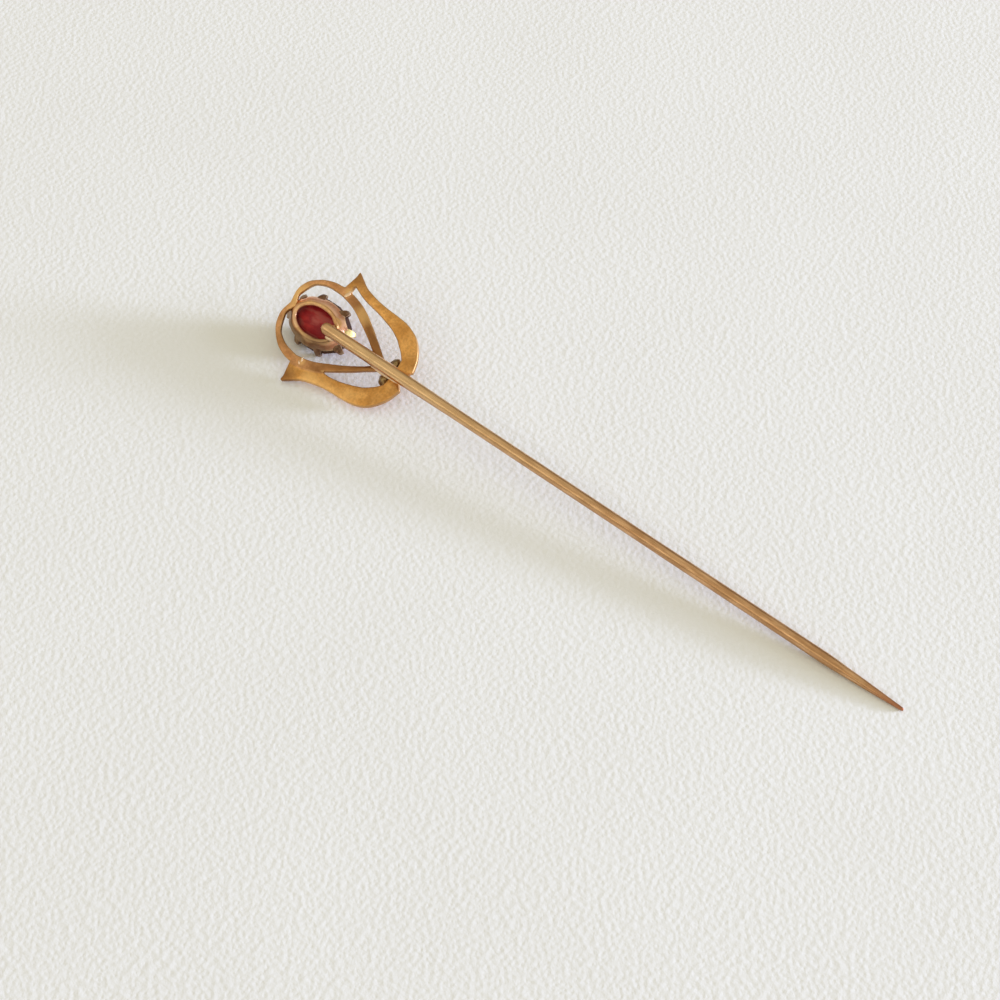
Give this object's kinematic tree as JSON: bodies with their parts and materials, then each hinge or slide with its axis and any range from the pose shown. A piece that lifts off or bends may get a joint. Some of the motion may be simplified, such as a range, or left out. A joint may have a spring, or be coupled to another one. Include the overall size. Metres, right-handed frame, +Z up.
{
  "type": "tulip stick pin",
  "caption": "Gold stick pin with an openwork tulip head and a claw-set oval red stone, lying face down with its stem sloping to the surface.",
  "frame": {"origin": "middle of the footprint, at the height of the surface that the pin lies on", "axes": "+X along the stem's shadow towards its point, +Y towards the raised petal, +Z up; the back of the head faces up"},
  "size_m": [0.0645, 0.0112, 0.0049],
  "materials": {
    "gold_mount": "worn yellow gold, softly polished",
    "oval_stone": "faceted dark red stone"
  },
  "bodies": {
    "root": {"gold_mount": "gold_mount", "oval_stone": "oval_stone"}
  },
  "joints": []
}
